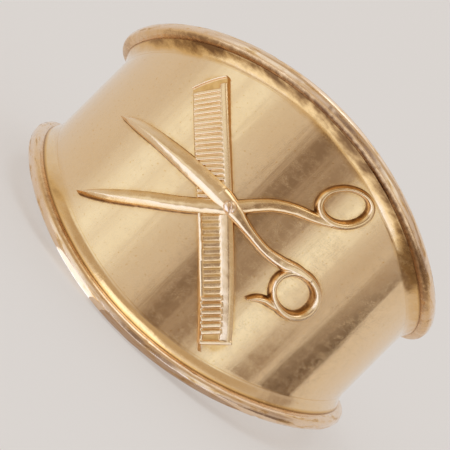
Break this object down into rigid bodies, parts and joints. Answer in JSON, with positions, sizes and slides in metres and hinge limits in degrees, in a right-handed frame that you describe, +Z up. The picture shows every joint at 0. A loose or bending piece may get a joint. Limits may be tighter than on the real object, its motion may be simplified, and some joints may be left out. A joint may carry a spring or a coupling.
{
  "type": "open-ended thimble",
  "caption": "Open-ended ring thimble: a tapered gold-tone band with beaded wire edges and a relief of open scissors crossing a comb.",
  "frame": {"origin": "bottom centre of the ring as it rests on a surface, standing on the front and the back of its lower wire", "axes": "+Z up; the wide face looks along -Y and slightly up; +X to the right of the face; the bore axis leans 14.4 degrees from +Z towards +Y"},
  "size_m": [0.0202, 0.022, 0.0146],
  "materials": {
    "band": "polished, finely scratched, warm brown patina next to the relief and the rims",
    "rim_wire": "polished and worn, small nicks, brown patina inside",
    "comb": "satin, dark in the grooves between the teeth",
    "scissors": "bright worn ridges, brown patina along the edges"
  },
  "bodies": {
    "root": {"band": "band", "upper_rim_wire": "rim_wire", "lower_rim_wire": "rim_wire", "comb": "comb", "scissor_half_under": "scissors", "scissor_half_over": "scissors", "pivot_screw": "scissors"}
  },
  "joints": []
}
